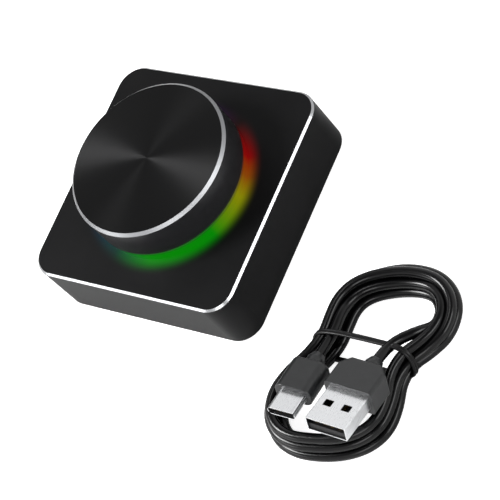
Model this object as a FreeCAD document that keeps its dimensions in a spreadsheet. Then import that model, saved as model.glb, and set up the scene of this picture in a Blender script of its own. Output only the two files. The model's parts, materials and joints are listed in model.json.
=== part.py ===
import FreeCAD, Part
import math
import os
import re
import Sketcher

# A desktop volume knob: a square aluminium base with a rotary encoder, a glowing ring and a
# turned aluminium knob that turns without end and can be pressed, and its loose USB cable.
# Millimetres. The origin is on the desk under the knob's axis, +Z is up and +Y is the back.

DIMENSIONS = {
    "base_side": 70.0,           # width and depth of the square base
    "housing_height": 19.35,     # of the aluminium housing, above the pad's lift
    "foot_height": 0.8,          # how far the rubber pad lifts the housing
    "corner_radius": 7.3,        # of the base, seen from above
    "edge_chamfer": 0.6,         # the bright bevel round the top of the base
    "foot_chamfer": 0.3,         # the small bevel round its lower edge
    "wall": 2.8,
    "top_plate": 2.4,
    "cover_thick": 2.0,
    "cover_lip": 1.5,            # wall left outside the bottom cover's rebate
    "cover_gap": 0.1,            # between the cover and its rebate, all round
    "pad_inset": 4.0,            # from the base's side to the rubber pad
    "pad_corner": 3.0,
    "pad_recess": 0.5,           # how deep the pad sits in the cover
    "post_inset": 6.6,           # from the base's side to the centre of a corner post
    "post_radius": 4.0,
    "cover_screw_radius": 1.2,
    "cover_screw_length": 8.0,
    "screw_head_radius": 2.3,
    "screw_clearance": 0.15,     # radial, where a screw passes through a piece
    "thread_gap": 0.05,          # radial, in the tapped holes
    "weight_inset": 13.0,        # from the base's side to the counterweight
    "weight_thick": 3.4,
    "peg_radius": 1.6,
    "peg_spacing": 30.0,
    "seat_gap": 0.05,            # between pieces that are seated without a press fit
    "board_clearance": 0.7,      # between the board and the housing's inner walls
    "board_thick": 1.6,
    "board_corner": 2.5,
    "post_relief": 0.6,          # room round the corner posts in the board's notches
    "standoff_x": 25.0,
    "standoff_y": 12.0,
    "standoff_radius": 2.4,
    "board_screw_radius": 0.8,
    "board_screw_length": 4.0,
    "board_screw_head": 1.9,
    "board_screw_head_height": 1.3,
    "encoder_height": 6.5,       # from the board to the encoder's mounting face
    "encoder_width": 11.4,
    "encoder_depth": 12.0,
    "frame_sheet": 0.4,
    "frame_plate": 0.75,
    "bushing_radius": 3.5,
    "bushing_length": 7.0,
    "shaft_radius": 3.0,
    "shaft_flat": 1.5,           # from the shaft's axis to its flat
    "shaft_length": 14.65,       # above the encoder's mounting face
    "running_gap": 0.05,         # radial, of the shaft in its bushing and the rotor
    "spindle_radius": 2.0,
    "spindle_flat": 1.5,
    "press_travel": 0.5,
    "press_gap": 0.15,           # left between the knob and the light ring when it is pressed
    "detents": 20,
    "washer_radius": 5.75,
    "washer_thick": 0.5,
    "nut_flats": 10.0,
    "nut_height": 2.0,
    "led_circle": 17.0,          # radius of the circle that the LEDs and light studs stand on
    "led_count": 8,
    "led_side": 3.5,
    "led_height": 1.6,
    "stud_radius": 2.5,
    "stud_gap": 0.1,             # radial, of the light studs in the top plate
    "ring_inset": 0.5,           # how far the light ring stays inside the knob's edge
    "ring_wall": 2.6,
    "ring_floor": 1.2,
    "ring_bore": 8.0,
    "knob_radius": 24.47,
    "knob_height": 11.5,
    "knob_gap": 3.65,            # between the base's top and the knob's lower edge
    "knob_chamfer": 0.85,
    "knob_face": 2.2,            # thickness of the knob's top
    "knob_wall": 2.0,
    "hub_plate": 1.8,
    "hub_radius": 5.6,
    "hub_gap": 0.35,             # left between the hub and the bushing's end when it is pressed
    "rib_count": 6,
    "rib_thick": 1.4,
    "rib_drop": 4.0,
    "port_width": 8.94,
    "port_height": 3.16,
    "port_depth": 7.3,
    "port_sheet": 0.25,
    "port_recess": 0.1,          # from the back wall to the port's mouth
    "port_clearance": 0.3,       # between the port's shell and the wall's opening
    "c_width": 8.34,             # USB-C plug shell
    "c_height": 2.56,
    "c_length": 6.65,
    "c_body_width": 11.0,
    "c_body_height": 6.0,
    "c_body_length": 11.0,
    "a_width": 12.0,             # USB-A plug shell
    "a_height": 4.5,
    "a_length": 11.75,
    "a_body_width": 14.4,
    "a_body_height": 7.8,
    "a_body_length": 10.5,
    "shell_sheet": 0.3,
    "shell_seat": 1.6,           # how deep a plug's shell sits in its moulded body
    "cable_diameter": 3.0,
    "neck_radius": 2.5,          # moulded strain relief at the plug
    "neck_tip_radius": 1.9,      # the same where the cable leaves it
    "neck_length": 3.5,
    "bundle_width": 6.8,         # of the tied coil's turns, across
    "bundle_height": 8.3,
    "tie_thick": 0.9,
    "tie_width": 2.0,
    "tie_height": 11.6,          # of the tie's loop: over the turns and the free ends on top of them
}

doc = FreeCAD.newDocument("VolumeKnob")
sheet = doc.addObject("Spreadsheet::Sheet", "Sizes")
for row, (alias, number) in enumerate(DIMENSIONS.items(), start=1):
    sheet.set("A%d" % row, alias)
    sheet.set("B%d" % row, str(number))
    sheet.setAlias("B%d" % row, alias)
doc.recompute()

NODES = {}

# Levels, as expressions in the sheet's names
BASE_TOP = "(foot_height + housing_height)"
PLATE_UNDERSIDE = "(foot_height + housing_height - top_plate)"
COVER_TOP = "(foot_height + cover_thick)"
BOARD_TOP = "(foot_height + housing_height - top_plate - encoder_height)"
BOARD_UNDERSIDE = "(foot_height + housing_height - top_plate - encoder_height - board_thick)"
BUSHING_TOP = "(foot_height + housing_height - top_plate + bushing_length)"
KNOB_BOTTOM = "(foot_height + housing_height + knob_gap)"
KNOB_TOP = "(foot_height + housing_height + knob_gap + knob_height)"
FACE_UNDERSIDE = "(foot_height + housing_height + knob_gap + knob_height - knob_face)"
SHAFT_TOP = "(foot_height + housing_height - top_plate + shaft_length)"
RING_RADIUS = "(knob_radius - ring_inset)"
POST = "(base_side / 2 - post_inset)"
HALF_PAD = "(base_side / 2 - pad_inset)"
PORT_MIDDLE = "(foot_height + housing_height - top_plate - encoder_height - board_thick - port_height / 2)"
PORT_MOUTH = "(base_side / 2 - port_recess)"


def bound(text):
    """An expression as the document reads it, with the sheet's name before each size."""
    return re.sub(r"[a-z]\w*", lambda m: "Sizes." + m.group() if m.group() in DIMENSIONS else m.group(), str(text))


def size(text):
    """The value of an expression in the sheet's names."""
    return float(sheet.evalExpression(bound(text)))


def vector(x, y, z):
    return FreeCAD.Vector(size(x), size(y), size(z))


# ---- sketches and PartDesign features ----

def new_body(name):
    body = doc.addObject("PartDesign::Body", name)
    body.Label = name
    NODES[name] = body
    return body


def new_sketch(body, role, lift="0"):
    sketch = body.newObject("Sketcher::SketchObject", body.Name + "_sketch")
    origin_plane = next(f for f in body.Origin.OriginFeatures if f.Role == role)
    sketch.AttachmentSupport = [(origin_plane, "")]
    sketch.MapMode = "FlatFace"
    sketch.setExpression(".AttachmentOffset.Base.z", bound(lift))
    return sketch


def dimension(sketch, kind, geometry, text):
    index = sketch.addConstraint(Sketcher.Constraint(kind, *geometry, size(text)))
    sketch.setExpression("Constraints[%d]" % index, bound(text))


def pin(sketch, geometry, point, x, y):
    dimension(sketch, "DistanceX", (-1, 1, geometry, point), x)
    dimension(sketch, "DistanceY", (-1, 1, geometry, point), y)


def polygon(sketch, corners):
    """A closed outline through corners given as pairs of expressions."""
    spots = [vector(x, y, 0) for x, y in corners]
    first = sketch.GeometryCount
    count = len(corners)
    for i in range(count):
        sketch.addGeometry(Part.LineSegment(spots[i], spots[(i + 1) % count]), False)
    for i, (x, y) in enumerate(corners):
        sketch.addConstraint(Sketcher.Constraint("Coincident", first + (i - 1) % count, 2, first + i, 1))
        pin(sketch, first + i, 1, x, y)


def circle(sketch, radius, x="0", y="0"):
    index = sketch.addGeometry(Part.Circle(vector(x, y, 0), FreeCAD.Vector(0, 0, 1), size(radius)), False)
    pin(sketch, index, 3, x, y)
    dimension(sketch, "Radius", (index,), radius)


def rounded_rectangle(sketch, half_x, half_y, radius, x="0", y="0"):
    """A rectangle with round corners about (x, y); a stadium where radius is just half_y."""
    half_x, half_y, radius = ("(%s)" % text for text in (half_x, half_y, radius))
    up = FreeCAD.Vector(0, 0, 1)
    middle = vector(x, y, 0)
    reach = FreeCAD.Vector(size(half_x) - size(radius), size(half_y) - size(radius), 0)
    first = sketch.GeometryCount
    for i, (sx, sy) in enumerate([(1, 1), (-1, 1), (-1, -1), (1, -1)]):
        centre = middle + FreeCAD.Vector(sx * reach.x, sy * reach.y, 0)
        arc = Part.ArcOfCircle(Part.Circle(centre, up, size(radius)), i * math.pi / 2, (i + 1) * math.pi / 2)
        sketch.addGeometry(arc, False)
    for i in range(4):
        start = sketch.Geometry[first + i].EndPoint
        end = sketch.Geometry[first + (i + 1) % 4].StartPoint
        sketch.addGeometry(Part.LineSegment(start, end), False)
    for i, (sx, sy) in enumerate([("+", "+"), ("-", "+"), ("-", "-"), ("+", "-")]):
        pin(sketch, first + i, 3, "%s %s (%s - %s)" % (x, sx, half_x, radius),
            "%s %s (%s - %s)" % (y, sy, half_y, radius))
        dimension(sketch, "Radius", (first + i,), radius)
        sketch.addConstraint(Sketcher.Constraint("Tangent", first + i, 2, first + 4 + i, 1))
        sketch.addConstraint(Sketcher.Constraint("Tangent", first + 4 + i, 2, first + (i + 1) % 4, 1))


def pad(body, sketch, length, down=False, middle=False):
    feature = body.newObject("PartDesign::Pad", body.Name + "_pad")
    feature.Profile = sketch
    feature.setExpression("Length", bound(length))
    feature.Reversed = down
    feature.Midplane = middle
    doc.recompute()
    return feature


def pocket(body, sketch, depth, up=False):
    """A cut against the sketch's normal, or along it where up is set; it has to remove material."""
    before = body.Shape.Volume
    feature = body.newObject("PartDesign::Pocket", body.Name + "_pocket")
    feature.Profile = sketch
    feature.setExpression("Length", bound(depth))
    feature.Reversed = up
    doc.recompute()
    if body.Shape.Volume >= before:
        raise RuntimeError("a pocket of %s cuts nothing" % body.Name)
    return feature


def revolve(body, corners):
    """A turned solid about Z, from corners given as pairs of radius and height."""
    sketch = new_sketch(body, "XZ_Plane")
    polygon(sketch, corners)
    feature = body.newObject("PartDesign::Revolution", body.Name + "_turned")
    feature.Profile = sketch
    feature.ReferenceAxis = (sketch, ["V_Axis"])
    feature.Angle = 360
    doc.recompute()
    return feature


def repeat_around(body, feature, count):
    """The feature repeated evenly about Z."""
    axis = next(f for f in body.Origin.OriginFeatures if f.Role == "Z_Axis")
    pattern = body.newObject("PartDesign::PolarPattern", body.Name + "_pattern")
    pattern.Originals = [feature]
    pattern.Axis = (axis, [""])
    pattern.Angle = 360
    pattern.setExpression("Occurrences", bound(count))
    body.Tip = pattern
    doc.recompute()
    return pattern


def edge_names(shape, chosen):
    return ["Edge%d" % (i + 1) for i, edge in enumerate(shape.Edges) if chosen(edge)]


def ease(body, kind, amount, chosen):
    """A PartDesign::Fillet or Chamfer on the edges of the body's tip for which chosen(edge) holds."""
    tip = body.Tip
    feature = body.newObject("PartDesign::" + kind, body.Name + "_" + kind.lower())
    feature.Base = (tip, edge_names(tip.Shape, chosen))
    feature.setExpression("Radius" if kind == "Fillet" else "Size", bound(amount))
    doc.recompute()
    return feature


def level_edge(edge, height, reach=0.0):
    """Whether an edge lies at one height and, where reach is given, out at that distance in X or Y."""
    box = edge.BoundBox
    level = abs(box.ZMin - height) < 1e-4 and abs(box.ZMax - height) < 1e-4
    return level and max(abs(box.XMin), abs(box.XMax), abs(box.YMin), abs(box.YMax)) > reach - 1e-4


# ---- Part primitives and booleans ----

def place(piece, x, y, z):
    for axis, text in (("x", x), ("y", y), ("z", z)):
        piece.setExpression(".Placement.Base." + axis, bound(text))
    return piece


def block(name, wide, deep, high, x, y, z):
    """A box centred on (x, y) with its underside at z."""
    piece = doc.addObject("Part::Box", name)
    for side, text in (("Length", wide), ("Width", deep), ("Height", high)):
        piece.setExpression(side, bound(text))
    return place(piece, "%s - (%s) / 2" % (x, wide), "%s - (%s) / 2" % (y, deep), z)


def rod(name, radius, high, x, y, z):
    piece = doc.addObject("Part::Cylinder", name)
    piece.setExpression("Radius", bound(radius))
    piece.setExpression("Height", bound(high))
    return place(piece, x, y, z)


def cone(name, radius_low, radius_high, high, x, y, z):
    piece = doc.addObject("Part::Cone", name)
    piece.setExpression("Radius1", bound(radius_low))
    piece.setExpression("Radius2", bound(radius_high))
    piece.setExpression("Height", bound(high))
    return place(piece, x, y, z)


def hexagon(name, flats, high, x, y, z):
    piece = doc.addObject("Part::Prism", name)
    piece.Polygon = 6
    piece.setExpression("Circumradius", bound("(%s) / 1.7320508" % flats))
    piece.setExpression("Height", bound(high))
    return place(piece, x, y, z)


def joined(name, pieces):
    piece = doc.addObject("Part::MultiFuse", name)
    piece.Shapes = pieces
    return piece


def overlap_of(name, pieces):
    piece = doc.addObject("Part::MultiCommon", name)
    piece.Shapes = pieces
    return piece


def less(name, base, tools):
    piece = doc.addObject("Part::Cut", name)
    piece.Base = base
    piece.Tool = tools[0] if len(tools) == 1 else joined(name + "_tools", tools)
    return piece


def group(name, pieces):
    """Separate solids that share one node."""
    piece = doc.addObject("Part::Compound", name)
    piece.Links = pieces
    return node(piece)


def node(piece):
    piece.Label = piece.Name
    NODES[piece.Name] = piece
    return piece


def corners_of(x, y):
    return [("(%s)" % x, "(%s)" % y), ("-(%s)" % x, "(%s)" % y), ("-(%s)" % x, "-(%s)" % y), ("(%s)" % x, "-(%s)" % y)]


# ---- the base ----

def make_anti_slip_pad():
    body = new_body("anti_slip_pad")
    sketch = new_sketch(body, "XY_Plane")
    rounded_rectangle(sketch, HALF_PAD, HALF_PAD, "pad_corner")
    pad(body, sketch, "foot_height + pad_recess")
    ease(body, "Chamfer", "foot_height / 3", lambda e: level_edge(e, 0))


def make_bottom_cover():
    body = new_body("bottom_cover")
    half = "(base_side / 2 - cover_lip - cover_gap)"
    sketch = new_sketch(body, "XY_Plane", "foot_height")
    rounded_rectangle(sketch, half, half, "corner_radius - cover_lip - cover_gap")
    pad(body, sketch, "cover_thick")
    pegs = new_sketch(body, "XY_Plane", COVER_TOP)
    for side in ("", "-"):
        circle(pegs, "peg_radius", side + "peg_spacing / 2")
    pad(body, pegs, "weight_thick + 0.4")
    recess = new_sketch(body, "XY_Plane", "foot_height")
    half_recess = "(%s + seat_gap)" % HALF_PAD
    rounded_rectangle(recess, half_recess, half_recess, "pad_corner + seat_gap")
    pocket(body, recess, "pad_recess", up=True)
    holes = new_sketch(body, "XY_Plane", COVER_TOP)
    for x, y in corners_of(POST, POST):
        circle(holes, "cover_screw_radius + screw_clearance", x, y)
    hole = body.newObject("PartDesign::Hole", "cover_holes")
    hole.Profile = holes
    hole.setExpression("Diameter", bound("2 * (cover_screw_radius + screw_clearance)"))
    hole.DepthType = "ThroughAll"
    doc.recompute()
    recess_floor = size("foot_height + pad_recess")
    ease(body, "Chamfer", "screw_head_radius - cover_screw_radius",
         lambda e: level_edge(e, recess_floor) and e.isClosed())


def make_cover_screws():
    screws = []
    head = "(foot_height + pad_recess)"
    slope = "(screw_head_radius - cover_screw_radius)"
    for i, (x, y) in enumerate(corners_of(POST, POST)):
        shape = joined("cover_screw_%d_form" % i, [
            cone("cover_screw_%d_head" % i, "screw_head_radius", "cover_screw_radius", slope, x, y, head),
            rod("cover_screw_%d_shank" % i, "cover_screw_radius", "cover_screw_length", x, y, head)])
        socket = hexagon("cover_screw_%d_socket" % i, "cover_screw_radius * 1.25", "0.9", x, y, head)
        screws.append(less("cover_screw_%d" % i, shape, [socket]))
    group("cover_screws", screws)


def make_counterweight():
    body = new_body("counterweight")
    sketch = new_sketch(body, "XY_Plane", COVER_TOP)
    half = "(base_side / 2 - weight_inset)"
    rounded_rectangle(sketch, half, half, "corner_radius / 2")
    for side in ("", "-"):
        circle(sketch, "peg_radius + seat_gap", side + "peg_spacing / 2")
    pad(body, sketch, "weight_thick")


def make_base_housing():
    """A shell milled from one block: open underneath, with corner posts and board standoffs."""
    body = new_body("base_housing")
    outer = new_sketch(body, "XY_Plane", "foot_height")
    rounded_rectangle(outer, "base_side / 2", "base_side / 2", "corner_radius")
    pad(body, outer, "housing_height")
    cavity = new_sketch(body, "XY_Plane", "foot_height")
    half_cavity = "(base_side / 2 - wall)"
    rounded_rectangle(cavity, half_cavity, half_cavity, "corner_radius - wall")
    pocket(body, cavity, "housing_height - top_plate", up=True)
    posts = new_sketch(body, "XY_Plane", PLATE_UNDERSIDE)
    for x, y in corners_of(POST, POST):
        circle(posts, "post_radius", x, y)
    pad(body, posts, "housing_height - top_plate - cover_thick", down=True)
    standoffs = new_sketch(body, "XY_Plane", PLATE_UNDERSIDE)
    for x, y in corners_of("standoff_x", "standoff_y"):
        circle(standoffs, "standoff_radius", x, y)
    pad(body, standoffs, "encoder_height", down=True)
    rebate = new_sketch(body, "XY_Plane", "foot_height")
    half_rebate = "(base_side / 2 - cover_lip)"
    rounded_rectangle(rebate, half_rebate, half_rebate, "corner_radius - cover_lip")
    pocket(body, rebate, "cover_thick", up=True)
    taps = new_sketch(body, "XY_Plane", COVER_TOP)
    for x, y in corners_of(POST, POST):
        circle(taps, "cover_screw_radius + thread_gap", x, y)
    pocket(body, taps, "cover_screw_length", up=True)
    board_taps = new_sketch(body, "XY_Plane", BOARD_TOP)
    for x, y in corners_of("standoff_x", "standoff_y"):
        circle(board_taps, "board_screw_radius + thread_gap", x, y)
    pocket(body, board_taps, "board_screw_length", up=True)
    centre_hole = new_sketch(body, "XY_Plane", BASE_TOP)
    circle(centre_hole, "bushing_radius + stud_gap")
    pocket(body, centre_hole, "top_plate")
    light_hole = new_sketch(body, "XY_Plane", BASE_TOP)
    circle(light_hole, "stud_radius + stud_gap", "led_circle")
    repeat_around(body, pocket(body, light_hole, "top_plate"), "led_count")
    port = new_sketch(body, "XZ_Plane", "-base_side / 2")
    half_opening = "(port_height / 2 + port_clearance)"
    rounded_rectangle(port, "port_width / 2 + port_clearance", half_opening,
                      "%s - 0.01" % half_opening, "0", PORT_MIDDLE)
    pocket(body, port, "wall + 0.2", up=True)
    top = size(BASE_TOP)
    foot = size("foot_height")
    side = size("base_side / 2 - corner_radius")
    ease(body, "Chamfer", "edge_chamfer", lambda e: level_edge(e, top, side) and outer_edge(e))
    ease(body, "Chamfer", "foot_chamfer", lambda e: level_edge(e, foot, side) and outer_edge(e))


def outer_edge(edge):
    """Whether an edge runs along the base's outer outline."""
    half = size("base_side / 2")
    inner = half - size("corner_radius")
    point = edge.valueAt((edge.FirstParameter + edge.LastParameter) / 2)
    x = max(abs(point.x) - inner, 0)
    y = max(abs(point.y) - inner, 0)
    return abs(math.hypot(x, y) - size("corner_radius")) < 1e-3


def make_light_ring():
    """A translucent moulding: a rim under the knob's edge, and studs that reach down to the LEDs."""
    body = new_body("light_ring")
    rim_top = KNOB_BOTTOM + " - press_travel - press_gap"
    floor_top = BASE_TOP + " + ring_floor"
    revolve(body, [
        ("ring_bore", BASE_TOP), (RING_RADIUS, BASE_TOP), (RING_RADIUS, rim_top),
        (RING_RADIUS + " - ring_wall", rim_top), (RING_RADIUS + " - ring_wall", floor_top),
        ("ring_bore", floor_top)])
    stud = new_sketch(body, "XY_Plane", BASE_TOP)
    circle(stud, "stud_radius", "led_circle")
    reach = "(top_plate + encoder_height - led_height - 0.3)"
    repeat_around(body, pad(body, stud, reach, down=True), "led_count")
    top = size(rim_top)
    ease(body, "Fillet", "0.4", lambda e: level_edge(e, top, size(RING_RADIUS)))


# ---- the electronics ----

PIN_SPOTS = [("-2.5", "-7.5"), ("0", "-7.5"), ("2.5", "-7.5"), ("-2.5", "7.0"), ("2.5", "7.0")]
PIN_WIDTH = "0.8"
PIN_HOLE = "0.6"
LEG_WIDTH = "2.0"
PORT_TAB = "(%s - port_depth * 0.78)" % PORT_MOUTH


def make_main_board():
    body = new_body("main_board")
    outline = new_sketch(body, "XY_Plane", BOARD_UNDERSIDE)
    half = "(base_side / 2 - wall - board_clearance)"
    rounded_rectangle(outline, half, half, "board_corner")
    pad(body, outline, "board_thick")
    notches = new_sketch(body, "XY_Plane", BOARD_TOP)
    for x, y in corners_of(POST, POST):
        circle(notches, "post_radius + post_relief", x, y)
    pocket(body, notches, "board_thick")
    holes = new_sketch(body, "XY_Plane", BOARD_TOP)
    for x, y in corners_of("standoff_x", "standoff_y"):
        circle(holes, "board_screw_radius + screw_clearance", x, y)
    for x, y in PIN_SPOTS:
        circle(holes, PIN_HOLE, x, y)
    leg_x = "(encoder_width / 2 + seat_gap + frame_sheet / 2)"
    for side in ("", "-"):
        rounded_rectangle(holes, "frame_sheet / 2 + 0.15", LEG_WIDTH + " / 2 + 0.15", "0.1", side + leg_x, "0")
        rounded_rectangle(holes, "port_sheet / 2 + 0.15", "0.75", "0.1",
                          side + "(port_width / 2 - port_sheet / 2)", PORT_TAB)
    pocket(body, holes, "board_thick")


def make_board_screws():
    screws = []
    head = "(%s - board_screw_head_height)" % BOARD_UNDERSIDE
    for i, (x, y) in enumerate(corners_of("standoff_x", "standoff_y")):
        shape = joined("board_screw_%d_form" % i, [
            rod("board_screw_%d_head" % i, "board_screw_head", "board_screw_head_height", x, y, head),
            rod("board_screw_%d_shank" % i, "board_screw_radius",
                "board_screw_head_height + board_thick + board_screw_length - 0.3", x, y, head)])
        slot = block("board_screw_%d_slot" % i, "board_screw_head * 1.3", "0.4", "0.5", x, y, head)
        cross = block("board_screw_%d_cross" % i, "0.4", "board_screw_head * 1.3", "0.5", x, y, head)
        screws.append(less("board_screw_%d" % i, shape, [slot, cross]))
    group("board_screws", screws)


def make_rgb_leds():
    leds = []
    for i in range(int(size("led_count"))):
        turn = "(%d * 360 deg / led_count)" % i
        x = "led_circle * cos(%s)" % turn
        y = "led_circle * sin(%s)" % turn
        case = block("led_%d_case" % i, "led_side", "led_side", "led_height", x, y, BOARD_TOP)
        cup = cone("led_%d_cup" % i, "led_side * 0.3", "led_side * 0.4", "0.4", x, y, BOARD_TOP + " + led_height - 0.4")
        leds.append(less("led_%d" % i, case, [cup]))
    group("rgb_leds", leds)


def make_controller_chip():
    body = new_body("controller_chip")
    sketch = new_sketch(body, "XY_Plane", BOARD_UNDERSIDE)
    polygon(sketch, [("-12.5", "8"), ("-5.5", "8"), ("-5.5", "15"), ("-12.5", "15")])
    pad(body, sketch, "0.9", down=True)
    under = size(BOARD_UNDERSIDE + " - 0.9")
    ease(body, "Chamfer", "0.15", lambda e: level_edge(e, under))


def make_small_components():
    """Capacitors, resistors, a crystal and a regulator on the board's underside."""
    places = [(3, 12, 3.2, 1.5, 1.0), (-15.5, 10, 1.0, 2.0, 0.8), (-15.5, 13.5, 1.0, 2.0, 0.8), (-9, 18, 3.2, 2.5, 0.8),
              (8, 10, 2.9, 1.6, 1.1), (9, 16, 2.0, 1.2, 0.9), (6, 20, 1.0, 2.0, 0.8), (-6, 21.5, 2.0, 1.2, 0.8),
              (12, -8, 2.0, 1.2, 0.8), (-12, -8, 2.0, 1.2, 0.8)]
    parts = []
    for i, (x, y, wide, deep, high) in enumerate(places):
        parts.append(block("component_%d" % i, wide, deep, high, x, y, "%s - %s" % (BOARD_UNDERSIDE, high)))
    group("small_components", parts)


def make_usb_c_port():
    shell = new_body("usb_c_port_shell")
    outline = new_sketch(shell, "XZ_Plane", "-" + PORT_MOUTH)
    half_height = "port_height / 2"
    rounded_rectangle(outline, "port_width / 2", half_height, half_height + " - 0.01", "0", PORT_MIDDLE)
    pad(shell, outline, "port_depth", down=False)
    mouth = new_sketch(shell, "XZ_Plane", "-" + PORT_MOUTH)
    half_inside = "(port_height / 2 - port_sheet)"
    rounded_rectangle(mouth, "port_width / 2 - port_sheet", half_inside, half_inside + " - 0.01", "0", PORT_MIDDLE)
    pocket(shell, mouth, "port_depth - port_sheet", up=True)
    tabs = new_sketch(shell, "XY_Plane", PORT_MIDDLE)
    for side in ("", "-"):
        rounded_rectangle(tabs, "port_sheet / 2", "0.6", "0.05", side + "(port_width / 2 - port_sheet / 2)", PORT_TAB)
    pad(shell, tabs, "port_height / 2 + board_thick")
    back = "(%s - port_depth + port_sheet)" % PORT_MOUTH
    depth = "(port_depth - port_sheet)"
    tongue = joined("usb_c_port_tongue", [
        block("tongue_root", "port_width - port_height + 0.6", depth + " * 0.25", "port_height - 2 * port_sheet - 0.1",
              "0", back + " + %s * 0.125" % depth, PORT_MIDDLE + " - (port_height - 2 * port_sheet - 0.1) / 2"),
        block("tongue_blade", "port_width - 2.3", depth + " * 0.85", "0.7",
              "0", back + " + %s * 0.425" % depth, PORT_MIDDLE + " - 0.35")])
    node(tongue)
    strips = []
    for i in range(12):
        for level in ("+ 0.35", "- 0.41"):
            strips.append(block("port_contact_%d" % len(strips), "0.25", depth + " * 0.5", "0.06",
                                "(%d - 5.5) * 0.5" % i, back + " + %s * 0.55" % depth, PORT_MIDDLE + level))
    group("usb_c_port_contacts", strips)


# ---- the rotary encoder ----

ROTOR_BASE = "(%s + 2.4)" % BOARD_TOP
ROTOR_TOP = "(%s + 3.95)" % BOARD_TOP
DOME_BASE = "(%s + 0.45)" % BOARD_TOP
DOME_HEIGHT = "(press_travel + 0.3)"
SPINDLE_TIP = "(%s + %s + 0.05)" % (DOME_BASE, DOME_HEIGHT)
BODY_TOP = "(%s - frame_plate)" % PLATE_UNDERSIDE
CAVITY = "5.0"
FLANGE_RADIUS = "3.6"
FLANGE_THICK = "0.85"
BUSHING_FLANGE = "0.8"


def make_encoder_body():
    body = new_body("encoder_body")
    outline = new_sketch(body, "XY_Plane", BOARD_TOP)
    rounded_rectangle(outline, "encoder_width / 2", "encoder_depth / 2", "0.6")
    pad(body, outline, "encoder_height - frame_plate")
    rotor_room = new_sketch(body, "XY_Plane", BODY_TOP)
    circle(rotor_room, CAVITY)
    pocket(body, rotor_room, "%s - %s + 0.05" % (BODY_TOP, ROTOR_BASE))
    dome_room = new_sketch(body, "XY_Plane", BODY_TOP)
    circle(dome_room, "3.3")
    pocket(body, dome_room, "%s - %s" % (BODY_TOP, DOME_BASE))


def make_encoder_frame():
    """A folded steel frame: a plate over the body, two cheeks and two legs through the board."""
    leg_x = "(encoder_width / 2 + seat_gap + frame_sheet / 2)"
    wide = "(encoder_width + 2 * seat_gap + 2 * frame_sheet)"
    pieces = [block("frame_plate_form", wide, "encoder_depth - 1", "frame_plate", "0", "0", BODY_TOP)]
    for i, side in enumerate(("", "-")):
        pieces.append(block("frame_cheek_%d" % i, "frame_sheet", "encoder_depth - 2", "2.6", side + leg_x, "0",
                            BODY_TOP + " - 2.6"))
        pieces.append(block("frame_leg_%d" % i, "frame_sheet", LEG_WIDTH, "encoder_height - frame_plate + board_thick + 0.8",
                            side + leg_x, "0", BOARD_UNDERSIDE + " - 0.8"))
    hole = rod("frame_hole", "bushing_radius + seat_gap", "frame_plate", "0", "0", BODY_TOP)
    node(less("encoder_frame", joined("encoder_frame_form", pieces), [hole]))


def make_encoder_bushing():
    body = new_body("encoder_bushing")
    low = "(%s - %s)" % (BODY_TOP, BUSHING_FLANGE)
    bore = "(shaft_radius + running_gap)"
    groove = "0.25"
    corners = [(bore, low), (CAVITY + " - 0.1", low), (CAVITY + " - 0.1", BODY_TOP), ("bushing_radius", BODY_TOP),
               ("bushing_radius", PLATE_UNDERSIDE + " + top_plate + washer_thick + nut_height + 0.3"),
               ("bushing_radius - " + groove, PLATE_UNDERSIDE + " + top_plate + washer_thick + nut_height + 0.5"),
               ("bushing_radius - " + groove, BUSHING_TOP), (bore, BUSHING_TOP)]
    revolve(body, corners)


def make_encoder_washer():
    body = new_body("encoder_washer")
    low = BASE_TOP
    high = BASE_TOP + " + washer_thick"
    revolve(body, [("bushing_radius + seat_gap", low), ("washer_radius", low), ("washer_radius", high),
                   ("bushing_radius + seat_gap", high)])


def make_encoder_nut():
    low = BASE_TOP + " + washer_thick"
    prism = hexagon("nut_prism", "nut_flats", "nut_height", "0", "0", low)
    crown = cone("nut_crown", "nut_flats * 0.62", "nut_flats * 0.5", "nut_height", "0", "0", low)
    hole = rod("nut_hole", "bushing_radius + seat_gap", "nut_height", "0", "0", low)
    node(less("encoder_nut", overlap_of("nut_form", [prism, crown]), [hole]))


def make_encoder_pins():
    """Flat pins that leave the body near the board and turn down through it."""
    pins = []
    for i, (x, y) in enumerate(PIN_SPOTS):
        side = "-" if y.startswith("-") else ""
        reach = "(abs(%s) + %s / 2 - encoder_depth / 2)" % (y, "0.4")
        arm = block("pin_%d_arm" % i, PIN_WIDTH, reach, "0.4", x, "%s(encoder_depth / 2 + %s / 2)" % (side, reach),
                    BOARD_TOP + " + 0.3")
        stem = block("pin_%d_stem" % i, PIN_WIDTH, "0.4", "board_thick + 1.5", x, y, BOARD_UNDERSIDE + " - 0.8")
        pins.append(joined("pin_%d" % i, [arm, stem]))
    group("encoder_pins", pins)


def make_encoder_detent_spring():
    """A flat spring ring under the bushing with two pips that ride on the rotor's crown."""
    top = "(%s - %s)" % (BODY_TOP, BUSHING_FLANGE)
    ring = rod("detent_ring_form", CAVITY + " - 0.1", "0.15", "0", "0", top + " - 0.15")
    hole = rod("detent_ring_hole", FLANGE_RADIUS + " + 0.25", "0.15", "0", "0", top + " - 0.15")
    pips = []
    for i, side in enumerate(("", "-")):
        drop = "(%s - 0.15 - %s - 0.05)" % (top, ROTOR_TOP)
        pips.append(cone("detent_pip_%d" % i, "0.2", "0.45", drop, side + "4.35", "0", "%s + 0.05" % ROTOR_TOP))
    node(joined("encoder_detent_spring", [less("detent_ring", ring, [hole])] + pips))


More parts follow.
